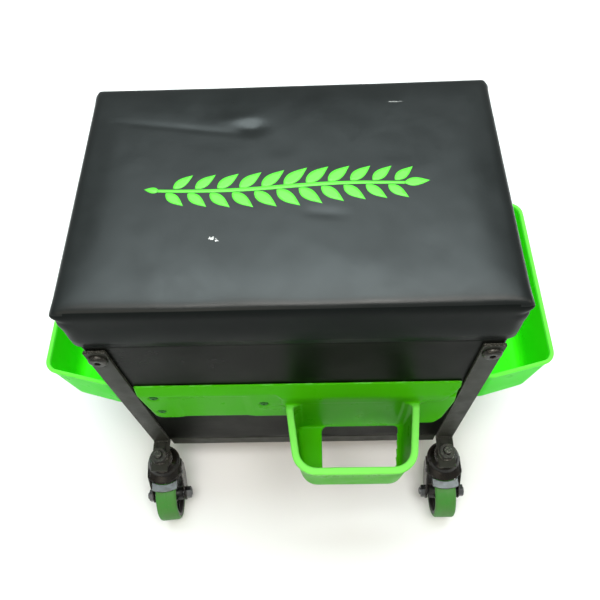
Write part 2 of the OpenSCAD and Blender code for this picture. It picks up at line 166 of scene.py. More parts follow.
def outline(corners, radii, arc=8, side=6):
    """Points and outward normals of a polygon with round corners, anticlockwise."""
    points, normals = [], []
    count = len(corners)
    for i in range(count):
        here = Vector(corners[i])
        to_prev = (Vector(corners[i - 1]) - here).normalized()
        to_next = (Vector(corners[(i + 1) % count]) - here).normalized()
        half = to_prev.angle(to_next) / 2
        radius = radii[i]
        hollow = to_prev.x * to_next.y - to_prev.y * to_next.x > 0
        side_sign = -1 if hollow else 1
        centre = here + (to_prev + to_next).normalized() * (radius / math.sin(half))
        start = here + to_prev * (radius / math.tan(half)) - centre
        turn = side_sign * (math.pi - 2 * half)
        for k in range(arc + 1):
            angle = turn * k / arc
            normal = Vector((start.x * math.cos(angle) - start.y * math.sin(angle),
                             start.x * math.sin(angle) + start.y * math.cos(angle)))
            points.append(centre + normal)
            normals.append(normal.normalized() * side_sign)
        following = Vector(corners[(i + 1) % count])
        back = (here - following).normalized()
        onward = (Vector(corners[(i + 2) % count]) - following).normalized()
        end = following + back * (radii[(i + 1) % count] / math.tan(back.angle(onward) / 2))
        begin = points[-1]
        side_normal = normals[-1]
        for k in range(1, side):
            points.append(begin.lerp(end, k / side))
            normals.append(side_normal)
    return points, normals


def inset(plan, amount):
    """The plan's points moved inward along their normals."""
    points, normals = plan
    return [p - n * amount for p, n in zip(points, normals)]


def apply_modifiers(obj):
    """Puts the modifiers' result into the object's own mesh."""
    depsgraph = bpy.context.evaluated_depsgraph_get()
    mesh = bpy.data.meshes.new_from_object(obj.evaluated_get(depsgraph))
    old = obj.data
    obj.modifiers.clear()
    obj.data = mesh
    bpy.data.meshes.remove(old)
    return obj


def remesh(obj, voxel, rounds):
    """Merges overlapping closed shells into one skin and softens its edges."""
    mod = obj.modifiers.new("remesh", "REMESH")
    mod.mode = "VOXEL"
    mod.voxel_size = voxel * MM
    mod.adaptivity = 0
    soften = obj.modifiers.new("soften", "SMOOTH")
    soften.factor = 0.5
    soften.iterations = rounds
    apply_modifiers(obj)
    smooth(obj)
    return obj


def bevel_node(name, width, segments=2, angle=35):
    """Broken edges on a CAD node, as a modifier that leaves its mesh alone."""
    obj = frame["nodes"][name]
    weld = obj.modifiers.new("weld", "WELD")
    weld.merge_threshold = 1e-5
    mod = obj.modifiers.new("edges", "BEVEL")
    mod.width = width * MM
    mod.segments = segments
    mod.limit_method = "ANGLE"
    mod.angle_limit = math.radians(angle)
    mod.harden_normals = False
    return obj


def copy_node(node, name):
    """A new object with a CAD node's shape, to be worked on."""
    return add_object(name, frame["nodes"][node].data.copy())


def paint(obj, *materials):
    """Gives an object these materials and no others."""
    obj.data.materials.clear()
    for material in materials:
        obj.data.materials.append(material)


def split_edges(obj, degrees):
    """Keeps edges crisp where faces meet at more than an angle."""
    edges = obj.modifiers.new("edges", "EDGE_SPLIT")
    edges.split_angle = math.radians(degrees)


def place(obj, body, slot, *replaced):
    """Lets a piece ride on a body in the place of some CAD nodes. The slot argument is not used."""
    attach(obj, body)
    if replaced:
        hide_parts(*replaced)
    return obj


# ---- materials -------------------------------------------------------------


class Shader:
    """A principled material with a few procedural layers."""

    def __init__(self, name, color, rough, metal=0.0, specular=0.5):
        self.mat = bpy.data.materials.new(name)
        self.mat.use_nodes = True
        self.tree = self.mat.node_tree
        self.bsdf = self.tree.nodes["Principled BSDF"]
        self.color = color
        self.bsdf.inputs["Base Color"].default_value = (*color, 1)
        self.bsdf.inputs["Roughness"].default_value = rough
        self.bsdf.inputs["Metallic"].default_value = metal
        self.bsdf.inputs["Specular IOR Level"].default_value = specular
        self.coords = self.node("ShaderNodeTexCoord").outputs["Object"]
        self.height = None

    def node(self, kind, **values):
        made = self.tree.nodes.new(kind)
        for key, value in values.items():
            setattr(made, key, value)
        return made

    def link(self, a, b):
        self.tree.links.new(a, b)

    def noise(self, scale, detail=4.0, rough=0.5, stretch=None, distortion=0.0):
        tex = self.node("ShaderNodeTexNoise")
        tex.inputs["Scale"].default_value = scale
        tex.inputs["Detail"].default_value = detail
        tex.inputs["Roughness"].default_value = rough
        tex.inputs["Distortion"].default_value = distortion
        self.link(self.stretched(stretch), tex.inputs["Vector"])
        return tex.outputs["Fac"]

    def cells(self, scale, feature="DISTANCE_TO_EDGE", stretch=None):
        tex = self.node("ShaderNodeTexVoronoi", feature=feature)
        tex.inputs["Scale"].default_value = scale
        self.link(self.stretched(stretch), tex.inputs["Vector"])
        return tex.outputs["Distance"]

    def stretched(self, stretch):
        if stretch is None:
            return self.coords
        mapping = self.node("ShaderNodeMapping")
        mapping.inputs["Scale"].default_value = stretch
        self.link(self.coords, mapping.inputs["Vector"])
        return mapping.outputs["Vector"]

    def ramp(self, value, low, high, to_low=0.0, to_high=1.0):
        rng = self.node("ShaderNodeMapRange", clamp=True)
        for key, number in zip(("From Min", "From Max", "To Min", "To Max"),
                               (low, high, to_low, to_high)):
            rng.inputs[key].default_value = number
        self.link(value, rng.inputs["Value"])
        return rng.outputs["Result"]

    def math(self, kind, a, b):
        made = self.node("ShaderNodeMath", operation=kind)
        for socket, value in zip(made.inputs, (a, b)):
            if isinstance(value, (int, float)):
                socket.default_value = value
            else:
                self.link(value, socket)
        return made.outputs[0]

    def tint(self, mask, color, amount=1.0):
        """Mixes a colour in where the mask is white."""
        mix = self.node("ShaderNodeMix", data_type="RGBA")
        source = self.bsdf.inputs["Base Color"]
        if source.is_linked:
            self.link(source.links[0].from_socket, mix.inputs["A"])
        else:
            mix.inputs["A"].default_value = (*self.color, 1)
        mix.inputs["B"].default_value = (*color, 1)
        self.link(self.math("MULTIPLY", mask, amount), mix.inputs["Factor"])
        self.link(mix.outputs["Result"], source)

    def roughness(self, value, low, high):
        self.link(self.ramp(value, 0.3, 0.7, low, high), self.bsdf.inputs["Roughness"])

    def bump(self, value, strength, distance):
        made = self.node("ShaderNodeBump")
        made.inputs["Strength"].default_value = strength
        made.inputs["Distance"].default_value = distance * MM
        self.link(value, made.inputs["Height"])
        if self.height is not None:
            self.link(self.height, made.inputs["Normal"])
        self.height = made.outputs["Normal"]
        self.link(self.height, self.bsdf.inputs["Normal"])


def edge_wear(shader, color, amount, scale=900.0):
    """Rubbed patches along convex edges, from the surface's own pointiness."""
    geometry = shader.node("ShaderNodeNewGeometry")
    edge = shader.ramp(geometry.outputs["Pointiness"], 0.52, 0.6)
    patches = shader.ramp(shader.noise(scale, 5), 0.5, 0.6)
    shader.tint(shader.math("MULTIPLY", edge, patches), color, amount)


def leatherette(name, color, low, high, grain=0.16):
    """Fine-grained leatherette, smudged and dusty, with roughness between two values."""
    s = Shader(name, color, 0.45, specular=0.5)
    smudge = s.noise(9, 5, 0.6)
    s.tint(s.ramp(smudge, 0.35, 0.7), tuple(c * 1.5 for c in color), 0.6)
    s.tint(s.ramp(s.noise(420, 3), 0.62, 0.75), tuple(c * 2.1 for c in color), 0.25)
    s.roughness(s.noise(14, 6, 0.62, distortion=0.4), low, high)
    s.bump(s.ramp(s.cells(1150), 0.0, 0.32), grain, 0.14)
    s.bump(s.noise(2600, 3, 0.6), 0.06, 0.06)
    s.bump(s.noise(60, 4, 0.55), 0.10, 0.6)
    return s


def seat_leather(name, sheen):
    """The lid's leatherette, with pale scuffs on its top."""
    s = leatherette(name, (0.0062, 0.0078, 0.0075), 0.27, 0.43)
    scuffs = ((-63, -58, 3.4, 1.5, 0.9), (-59, -60.5, 1.6, 1.0, 0.9), (97, 91.5, 7.5, 0.8, 0.3))
    for x, y, wide, deep, strength in scuffs:
        at = s.node("ShaderNodeMapping")
        centre = P(x, y, 0)
        size = (wide * MM, deep * MM)
        at.inputs["Location"].default_value = (-centre.x / size[0], -centre.y / size[1], 0)
        at.inputs["Scale"].default_value = (1 / size[0], 1 / size[1], 0)
        s.link(s.coords, at.inputs["Vector"])
        length = s.node("ShaderNodeVectorMath", operation="LENGTH")
        s.link(at.outputs["Vector"], length.inputs[0])
        ragged = s.math("ADD", length.outputs["Value"], s.ramp(s.noise(700, 4), 0.3, 0.7, -0.5, 0.7))
        s.tint(s.ramp(ragged, 0.75, 1.0, 1.0, 0.0), (0.62, 0.62, 0.6), strength)
    s.bsdf.inputs["Specular IOR Level"].default_value = sheen
    return s.mat


def box_leather():
    s = leatherette("leatherette_box", (0.0032, 0.0036, 0.0026), 0.26, 0.42, 0.1)
    s.bsdf.inputs["Specular IOR Level"].default_value = 0.03
    return s.mat


def painted_rim_highlight(shader, low, high, front, color):
    """A painted highlight: a paler stripe between two heights, in front of a given depth, all in
    millimetres.
    """
    axes = shader.node("ShaderNodeSeparateXYZ")
    shader.link(shader.coords, axes.inputs["Vector"])
    above = shader.ramp(axes.outputs["Z"], (low - 0.8) * MM, (low + 0.8) * MM)
    below = shader.ramp(axes.outputs["Z"], (high - 0.5) * MM, (high + 0.5) * MM, 1.0, 0.0)
    edge = P(0, front, 0).y
    ahead = shader.ramp(axes.outputs["Y"], edge - 6 * MM, edge, 1.0, 0.0)
    highlight_band = shader.math("MULTIPLY", shader.math("MULTIPLY", above, below), ahead)
    shader.tint(highlight_band, color, 0.75)


def tray_plastic(name, color, pale, rim):
    """Moulded plastic with worn edges, pale scratches and a painted highlight along its rim."""
    s = Shader(name, color, 0.3, specular=0.03)
    s.tint(s.ramp(s.noise(7, 4), 0.4, 0.7), tuple(c * 1.12 for c in color), 0.6)
    s.tint(s.ramp(s.noise(240, 6, 0.7), 0.66, 0.78), pale, 0.16)
    s.roughness(s.noise(35, 5, 0.6), 0.24, 0.4)
    s.bump(s.noise(950, 3, 0.55), 0.07, 0.12)
    s.bump(s.noise(42, 3, 0.5), 0.05, 0.5)
    edge_wear(s, tuple(min(0.9, c * 1.35 + 0.1) for c in color), 0.8, 90.0)
    # Painted highlight: the rim is made paler, as where it faces up into the light.
    painted_rim_highlight(s, *rim)
    s.bsdf.inputs["Subsurface Weight"].default_value = 0.12
    s.bsdf.inputs["Subsurface Radius"].default_value = (0.2, 1.0, 0.15)
    s.bsdf.inputs["Subsurface Scale"].default_value = 0.004
    return s.mat


def powder_coat():
    s = Shader("powder_coat", (0.02, 0.021, 0.016), 0.46, specular=0.12)
    s.tint(s.ramp(s.noise(22, 5, 0.6), 0.4, 0.7), (0.032, 0.032, 0.025), 0.7)
    s.roughness(s.noise(60, 5), 0.38, 0.56)
    s.bump(s.noise(1500, 2, 0.5), 0.18, 0.1)
    s.bump(s.noise(160, 3), 0.08, 0.3)
    edge_wear(s, (0.2, 0.19, 0.17), 0.55)
    return s.mat


def gloss_enamel():
    s = Shader("caster_enamel", (0.007, 0.0062, 0.005), 0.22, specular=0.3)
    s.tint(s.ramp(s.noise(120, 4), 0.45, 0.7), (0.015, 0.0115, 0.007), 0.7)
    s.roughness(s.noise(90, 4), 0.18, 0.34)
    s.bump(s.noise(330, 3), 0.08, 0.25)
    edge_wear(s, (0.14, 0.12, 0.1), 0.5)
    return s.mat


def zinc_plate():
    s = Shader("zinc_plate", (0.13, 0.137, 0.145), 0.45, metal=1.0)
    s.tint(s.ramp(s.noise(150, 5), 0.4, 0.7), (0.1, 0.1, 0.095), 0.7)
    s.tint(s.ramp(s.noise(900, 4), 0.62, 0.74), (0.1, 0.085, 0.07), 0.5)
    s.roughness(s.noise(260, 5), 0.36, 0.56)
    s.bump(s.noise(800, 4), 0.14, 0.12)
    return s.mat


def black_oxide():
    s = Shader("black_oxide", (0.028, 0.028, 0.025), 0.4, metal=0.8)
    s.tint(s.ramp(s.noise(260, 5), 0.45, 0.7), (0.06, 0.055, 0.045), 0.7)
    s.roughness(s.noise(300, 4), 0.34, 0.56)
    s.bump(s.noise(900, 4), 0.2, 0.12)
    edge_wear(s, (0.3, 0.28, 0.25), 0.6)
    return s.mat


def tread_rubber():
    s = Shader("tread_urethane", (0.05, 0.21, 0.034), 0.42, specular=0.2)
    s.tint(s.ramp(s.noise(55, 5, 0.65), 0.42, 0.68), (0.075, 0.165, 0.045), 0.75)
    s.tint(s.ramp(s.noise(480, 5, 0.7), 0.58, 0.72), (0.16, 0.17, 0.1), 0.5)
    s.roughness(s.noise(120, 5), 0.36, 0.6)
    s.bump(s.noise(620, 5, 0.65), 0.22, 0.2)
    return s.mat


def hub_plastic():
    s = Shader("hub_plastic", (0.006, 0.006, 0.0058), 0.36, specular=0.35)
    s.tint(s.ramp(s.noise(80, 4), 0.4, 0.7), (0.02, 0.02, 0.018), 0.7)
    s.roughness(s.noise(200, 4), 0.28, 0.5)
    s.bump(s.noise(1100, 3), 0.12, 0.1)
    return s.mat


def plywood():
    s = Shader("plywood", (0.5, 0.34, 0.19), 0.62, specular=0.3)
    grain = s.noise(38, 8, 0.65, stretch=(0.5, 9, 9), distortion=0.6)
    s.tint(s.ramp(grain, 0.4, 0.65), (0.36, 0.22, 0.11), 0.75)
    s.tint(s.ramp(s.noise(520, 4, 0.6, stretch=(0.3, 6, 6)), 0.55, 0.7), (0.24, 0.14, 0.07), 0.4)
    s.roughness(grain, 0.55, 0.75)
    s.bump(grain, 0.2, 0.3)
    return s.mat


def foam():
    s = Shader("foam", (0.75, 0.66, 0.38), 0.9, specular=0.1)
    s.tint(s.ramp(s.noise(60, 4), 0.4, 0.7), (0.6, 0.5, 0.26), 0.5)
    s.bump(s.cells(700), 0.5, 0.4)
    return s.mat


# Dark green screw heads, much darker than the tray's green.
def dark_green_screw_heads():
    s = Shader("tray_screw_dark_green", (0.018, 0.12, 0.016), 0.5, specular=0.1)
    s.tint(s.ramp(s.noise(300, 4), 0.4, 0.7), (0.03, 0.2, 0.025), 0.6)
    s.roughness(s.noise(500, 4), 0.4, 0.6)
    s.bump(s.noise(1200, 3), 0.1, 0.1)
    return s.mat


def print_ink():
    s = Shader("print_ink", (0.1, 0.66, 0.045), 0.42, specular=0.35)
    s.tint(s.ramp(s.noise(520, 5, 0.7), 0.6, 0.75), (0.06, 0.36, 0.03), 0.55)
    s.roughness(s.noise(150, 4), 0.36, 0.5)
    s.bump(s.ramp(s.cells(1150), 0.0, 0.32), 0.12, 0.12)
    return s.mat


MAT = {
    "leatherette": seat_leather("leatherette_top", 0.31),
    "box_cover": box_leather(),
    # The last values give the heights and colour of the painted highlight on the tubs' rims.
    "tray_plastic": tray_plastic("tray_plastic", (0.036, 0.72, 0.006), (0.16, 0.5, 0.1),
                                 (246.6, 260, 200, (0.16, 0.88, 0.08))),
    "frame_steel": powder_coat(),
    "caster_black": gloss_enamel(),
    "zinc": zinc_plate(),
    "dark_fasteners": black_oxide(),
    "tread_green": tread_rubber(),
    "hub_plastic": hub_plastic(),
    "plywood": plywood(),
    "foam": foam(),
}
# Painted shade: the same leatherette with almost no sheen, so the lid's sides read dark.
SIDE_LEATHER_PAINTED_SHADE = seat_leather("leatherette_side_painted_shade", 0.03)
# Painted shade: a darker copy of the tray plastic for the front tray, whose faces look forward; its last
# values give a painted highlight along the bin's rim.
ORGANISER_PAINTED_SHADE = tray_plastic("organiser_plastic_painted_shade", (0.05, 0.38, 0.002), (0.1, 0.36, 0.06),
                         (225.8, 231.2, -FACE_Y - 9, (0.22, 0.74, 0.12)))
INK = print_ink()

# ---- CAD nodes that stay ---------------------------------------------------


def dress_cad_nodes():
    """Every CAD node takes its slot's material. Those that are replaced are hidden later."""
    for part in frame["record"]["subparts"]:
        paint(frame["nodes"][part["node"]], MAT[part["material_slot"]])
    for name in ("rail_front", "rail_rear", "rail_left", "rail_right"):
        bevel_node(name, 0.7, 3)
    for name in frame["nodes"]:
        if name.startswith("leg_front") or name.startswith("leg_rear"):
            bevel_node(name, 0.6, 3)
        if name.startswith("axle_") or name in ("caster_nuts", "floor_nuts"):
            bevel_node(name, 0.35, 2)
    for name in ("hinge_leaves_lower", "hinge_leaves_upper", "lid_board", "box_floor"):
        bevel_node(name, 0.3, 2)


# ---- cushion ---------------------------------------------------------------

LID_Z0, LID_Z1 = SEAT[0][2], SEAT[1][2]
HALF_W, HALF_D = SEAT[1][0], SEAT[1][1]
# Size of the cover's mesh faces and length of its simulation
CLOTH_GRID, SWELL_FRAMES = 4.5, 20
# How far the cloth may move sideways, down and up
SIDE_CAP, SINK_CAP, TOP_CAP = 0.9, 0.6, 2.6


def cushion_blank():
    """The closed, slightly small body that the cloth swells from."""
    half_w, half_d = HALF_W - 0.9, HALF_D - 0.9
    corner, edge, edge_z = 7, 7, LID_Z1 - 8.6
    plan = outline([(-half_w, -half_d), (half_w, -half_d), (half_w, half_d), (-half_w, half_d)],
                   [corner] * 4, 5, 24)
    levels = [(0.5, LID_Z0 + 0.1), (0.1, LID_Z0 + 2), (0, LID_Z0 + 20), (0, LID_Z1 - 12)]
    levels += [(edge - edge * math.cos(a), edge_z + edge * math.sin(a))
               for a in (0.0, 0.4, 0.8, 1.2, math.pi / 2)]
    rings = [[P(p.x, p.y, z) for p in inset(plan, amount)] for amount, z in levels]
    return make("seat_cushion", *loft(rings))


def swell(obj):
    """Blows the cover up as cloth. Its lower edge is held, and its sides hardly move."""
    rest = [v.co.copy() for v in obj.data.vertices]
    run_cloth(obj)
    moves = []
    for vertex, start in zip(obj.data.vertices, rest):
        move = (vertex.co - start) / MM
        moves.append(Vector((clamp(move.x, -SIDE_CAP, SIDE_CAP),
                             clamp(move.y, -SIDE_CAP, SIDE_CAP),
                             clamp(move.z, -SINK_CAP, TOP_CAP))))
    for vertex, start, move in zip(obj.data.vertices, rest, evened(obj.data, moves, 14)):
        vertex.co = start + move * MM


def run_cloth(obj):
    """Runs the cloth under pressure and puts the last frame into the mesh."""
    held = obj.vertex_groups.new(name="held")
    held_top = (LID_Z0 + 9) * MM
    held.add([v.index for v in obj.data.vertices if v.co.z < held_top], 1.0, "REPLACE")
    cloth = obj.modifiers.new("cloth", "CLOTH")
    cloth.settings.quality = 6
    cloth.settings.mass = 0.3
    cloth.settings.tension_stiffness = 18
    cloth.settings.compression_stiffness = 18
    cloth.settings.shear_stiffness = 8
    cloth.settings.bending_stiffness = 1.5
    cloth.settings.vertex_group_mass = "held"
    cloth.settings.use_pressure = True
    cloth.settings.uniform_pressure_force = 4
    cloth.settings.effector_weights.gravity = 0
    cloth.point_cache.frame_start = 1
    cloth.point_cache.frame_end = SWELL_FRAMES
    scene = bpy.context.scene
    for step in range(1, SWELL_FRAMES + 1):
        scene.frame_set(step)
    apply_modifiers(obj)
    scene.frame_set(1)


def evened(mesh, moves, rounds):
    """Each point's move averaged with its neighbours', so no ripples stay along the edges."""
    near = [[] for _ in mesh.vertices]
    for edge in mesh.edges:
        a, b = edge.vertices
        near[a].append(b)
        near[b].append(a)
    for _ in range(rounds):
        moves = [(move + sum((moves[n] for n in ring), Vector())) / (1 + len(ring))
                 for move, ring in zip(moves, near)]
    return moves


def clamp(value, low=0.0, high=1.0):
    return max(low, min(high, value))


def bell(distance, width):
    """A smooth bump: 1 at no distance, and about a third one width away."""
    return math.exp(-(distance / width) ** 2)


def segment_distance(x, y, a, b):
    """Distance to a segment and the share of the way along it."""
    ab = Vector(b) - Vector(a)
    t = clamp((Vector((x, y)) - Vector(a)).dot(ab) / ab.length_squared)
    return (Vector((x, y)) - Vector(a) - ab * t).length, t


def top_relief(x, y):
    """Height of the folds and dents in the lid's top, in millimetres."""
    dent = -2.3 * bell(math.hypot((x + 34) / 1.4, y - 64), 8)
    heave = 0.9 * bell(math.hypot((x + 46) / 1.8, y - 75), 8)
    distance, t = segment_distance(x, y, (-165, 76), (-30, 54))
    crease = -0.45 * bell(distance, 3.4) * math.sin(math.pi * (0.1 + 0.88 * t))
    ridge = 0.25 * bell(segment_distance(x, y, (-140, 86), (-40, 68))[0], 9)
    distance, t = segment_distance(x, y, (12, -33), (48, -37))
    fold = -0.4 * bell(distance, 5) * math.sin(math.pi * (0.1 + 0.8 * t))
    waves = 0.4 * noise.noise(Vector((x, y, 0)) / 55)
    ripples = 0.14 * noise.noise(Vector((x, y, 40)) / 19)
    return dent + heave + crease + ridge + fold + waves + ripples


def corner_pleat(x, y, z):
    """How far a point near a corner moves out, in millimetres: the pulled tip and its tuck."""
    near = bell(math.hypot(HALF_W - abs(x), HALF_D - abs(y)), 10)
    tip = 2.6 * bell(z - (LID_Z1 - 9), 7)
    tuck = 1.2 * bell(z - (LID_Z1 - 24), 8)
    return near * (tip - tuck)


def dress_up_cushion(obj):
    """Folds, rubbed-in dents and the pulled corners, on the finished cloth."""
    back = HALF_D + 0.2
    for vertex in obj.data.vertices:
        x, y, z = vertex.co.x / MM, (vertex.co.y - MID_Y) / MM, vertex.co.z / MM
        side_x, side_y = HALF_W - abs(x), HALF_D - abs(y)
        top = clamp((z - LID_Z1 + 14) / 10)
        inner = clamp(min(side_x, side_y) / 16)
        wall = bell(z - (LID_Z1 - 26), 16) * (1 - inner)
        out = corner_pleat(x, y, z)
        out_x = out + 0.25 * wall * noise.noise(Vector((y / 22, z / 40, 3))) * (side_x < side_y)
        out_y = out + 0.25 * wall * noise.noise(Vector((x / 26, z / 40, 7))) * (side_y <= side_x)
        x += math.copysign(out_x, x)
        y += math.copysign(out_y, y)
        z += top_relief(x, y) * top * inner
        z = max(z, LID_Z0 + 0.1)
        if z < LID_Z0 + 14:
            y = min(y, back)
        vertex.co = P(x, y, z)


def open_underside(obj):
    """Cuts the blank's bottom away, drops a straight hem and gives the cover its thickness."""
    bm = bmesh.new()
    bm.from_mesh(obj.data)
    hem_z = (LID_Z0 + 8) * MM
    bmesh.ops.bisect_plane(bm, geom=bm.verts[:] + bm.edges[:] + bm.faces[:],
                           plane_co=(0, 0, hem_z), plane_no=(0, 0, 1), clear_inner=True)
    loop = [e for e in bm.edges if e.is_boundary]
    hem = bmesh.ops.extrude_edge_only(bm, edges=loop)
    for item in hem["geom"]:
        if isinstance(item, bmesh.types.BMVert):
            item.co.z = (LID_Z0 + 0.05) * MM
    bmesh.ops.recalc_face_normals(bm, faces=bm.faces)
    bm.to_mesh(obj.data)
    bm.free()
    skin = obj.modifiers.new("thickness", "SOLIDIFY")
    skin.thickness = 1.4 * MM
    skin.offset = -1
    apply_modifiers(obj)


def seat_cushion():
    """The lid's cover: blown up, folded and hemmed, with a glossy top and sides that take a copy of the
    leatherette with almost no sheen, painted shade that darkens them.
    """
    obj = cushion_blank()
    voxels = obj.modifiers.new("remesh", "REMESH")
    voxels.mode = "VOXEL"
    voxels.voxel_size = CLOTH_GRID * MM
    apply_modifiers(obj)
    swell(obj)
    soften = obj.modifiers.new("soften", "SMOOTH")
    soften.factor = 0.5
    soften.iterations = 1
    obj.modifiers.new("subdivide", "SUBSURF").levels = 1
    apply_modifiers(obj)
    dress_up_cushion(obj)
    open_underside(obj)
    smooth(obj)
    paint(obj, MAT["leatherette"], SIDE_LEATHER_PAINTED_SHADE)
    # Faces that look up keep the glossy leatherette; the others take the painted-shade copy.
    for face in obj.data.polygons:
        face.material_index = 0 if face.normal.z > 0.5 else 1
    place(obj, "lid", "leatherette", "seat_cover")
    return obj


def foam_core():
    """The foam block inside the cover, a little smaller than its CAD solid."""
    half_w, half_d = HALF_W - 9, HALF_D - 9
    plan = outline([(-half_w, -half_d), (half_w, -half_d), (half_w, half_d), (-half_w, half_d)],
                   [10] * 4, 6, 10)
    base = node_box("lid_board")[1][2] + 0.2
    levels = [(3, base), (0, base + 3), (0, LID_Z1 - 18), (2, LID_Z1 - 13), (7, LID_Z1 - 10)]
    rings = [[P(p.x, p.y, z) for p in inset(plan, amount)] for amount, z in levels]
    obj = make("foam_core", *loft(rings), MAT["foam"])
    place(obj, "lid", "foam", "seat_foam")


# ---- printed leaf sprig ----------------------------------------------------

# Half the stem's length and the place of its middle
SPRIG_REACH, SPRIG_X, SPRIG_Y = 106, -7, -6


def leaf_outline(length, width, steps=14):
    """A pointed leaf along +X, as a closed outline."""
    upper = [(length * i / steps, width / 2 * math.sin(math.pi * (i / steps) ** 0.8)
              * (1 - 0.25 * i / steps)) for i in range(steps + 1)]
    return upper + [(x, -y) for x, y in reversed(upper[1:-1])]


def turned(points, angle, x, y):
    """The points turned about the origin and moved to a place."""
    c, s = math.cos(angle), math.sin(angle)
    return [(x + px * c - py * s, y + px * s + py * c) for px, py in points]


def stem_y(x):
    """How far the wavy stem is off its straight line."""
    return 2.6 * math.sin(x / 40)


def sprig_shapes(reach):
    """Outlines of a wavy stem with broad leaves in pairs and one at each end."""
    steps = 60
    xs = [-reach + 2 * reach * i / steps for i in range(steps + 1)]
    thick = [2.1 - 0.7 * abs(x) / reach for x in xs]
    stem = [(x, stem_y(x) + t) for x, t in zip(xs, thick)]
    stem += [(x, stem_y(x) - t) for x, t in reversed(list(zip(xs, thick)))]
    shapes = [stem]
    pairs = 11
    for k in range(pairs):
        x = -reach + 8 + (2 * reach - 22) * k / (pairs - 1)
        size = 27 - 6 * abs(x) / reach
        for side in (-1, 1):
            lean = side * math.radians(41)
            at = x + (3 if side > 0 else -3)
            shapes.append(turned(leaf_outline(size, size * 0.47), lean,
                                 at + 2.2, stem_y(at) + side * 2.6))
    shapes.append(turned(leaf_outline(22, 10), 0.08, reach - 1, stem_y(reach)))
    shapes.append(turned(leaf_outline(13, 7), math.pi - 0.15, -reach + 1, stem_y(-reach)))
    return shapes


def sprig(cushion):
    """The sprig as a thin skin of ink lying on the cushion's top."""
    proud, thick = 0.16, 0.3
    bm = bmesh.new()
    for shape in sprig_shapes(SPRIG_REACH):
        ring = [bm.verts.new((x, y, 0)) for x, y in shape]
        bm.faces.new(ring)
    bmesh.ops.triangulate(bm, faces=bm.faces)
    for _ in range(3):
        long_edges = [e for e in bm.edges if e.calc_length() > 3.5]
        bmesh.ops.subdivide_edges(bm, edges=long_edges, cuts=1)
        bmesh.ops.triangulate(bm, faces=bm.faces)
    tree = BVHTree.FromObject(cushion, bpy.context.evaluated_depsgraph_get())
    for vertex in bm.verts:
        start = P(vertex.co.x + SPRIG_X, vertex.co.y + SPRIG_Y, LID_Z1 + 60)
        hit = tree.ray_cast(start, Vector((0, 0, -1)))
        vertex.co = hit[0] + Vector((0, 0, proud * MM))
    skin = bmesh.ops.extrude_face_region(bm, geom=list(bm.faces))
    for item in skin["geom"]:
        if isinstance(item, bmesh.types.BMVert):
            item.co.z -= thick * MM
    bmesh.ops.recalc_face_normals(bm, faces=bm.faces)
    mesh = bpy.data.meshes.new("sprig_print")
    bm.to_mesh(mesh)
    bm.free()
    obj = add_object("sprig_print", mesh)
    smooth(obj)
    mesh.materials.append(INK)
    place(obj, "lid", "tray_plastic")


# ---- storage box -----------------------------------------------------------


def skin_ring(plan, amount, z, puff=0.0):
    """One level of the box skin, with the leatherette a little uneven where it is puffed."""
    made = []
    for p, n in zip(*plan):
        out = -amount
        if puff:
            along = p.y if abs(n.x) > 0.7 else p.x
            out += puff * noise.noise(Vector((along / 40, z / 45, n.x * 3 + n.y * 5)))
            out -= 0.25 * puff
        made.append(P(p.x + n.x * out, p.y + n.y * out, z))
    return made


def box_skin():
    """The four panels in one wrapped skin with soft corners."""
    in_x, in_y = SIDE_X - PANEL_T, FACE_Y - PANEL_T
    outer = outline([(-SIDE_X, -FACE_Y), (SIDE_X, -FACE_Y), (SIDE_X, FACE_Y), (-SIDE_X, FACE_Y)],
                    [4.5] * 4, 6, 30)
    inner = outline([(-in_x, -in_y), (in_x, -in_y), (in_x, in_y), (-in_x, in_y)], [1.2] * 4, 6, 30)
    lip, steps = 2, 26
    rings = [skin_ring(outer, 1.2, BOX_Z0), skin_ring(outer, 0.35, BOX_Z0 + 0.5)]
    for i in range(steps + 1):
        z = BOX_Z0 + lip + (BOX_Z1 - BOX_Z0 - 3 * lip) * i / steps
        rings.append(skin_ring(outer, 0.12, z, 0.55))
    for angle in (0.3, 0.8, 1.3):
        rings.append(skin_ring(outer, lip - lip * math.cos(angle), BOX_Z1 - lip + lip * math.sin(angle)))
    for angle in (1.3, 0.8, 0.3):
        rings.append(skin_ring(inner, -lip + lip * math.cos(angle), BOX_Z1 - lip + lip * math.sin(angle)))
    rings.append(skin_ring(inner, 0.0, BOX_Z1 - 6))
    rings.append(skin_ring(inner, 0.0, BOX_Z0 + CLEAR))
    obj = make("box_skin", *loft(rings, closed=True), MAT["box_cover"])
    place(obj, "base", "box_cover", "box_front_panel", "box_back_panel",
          "box_left_panel", "box_right_panel")


# ---- trays -----------------------------------------------------------------


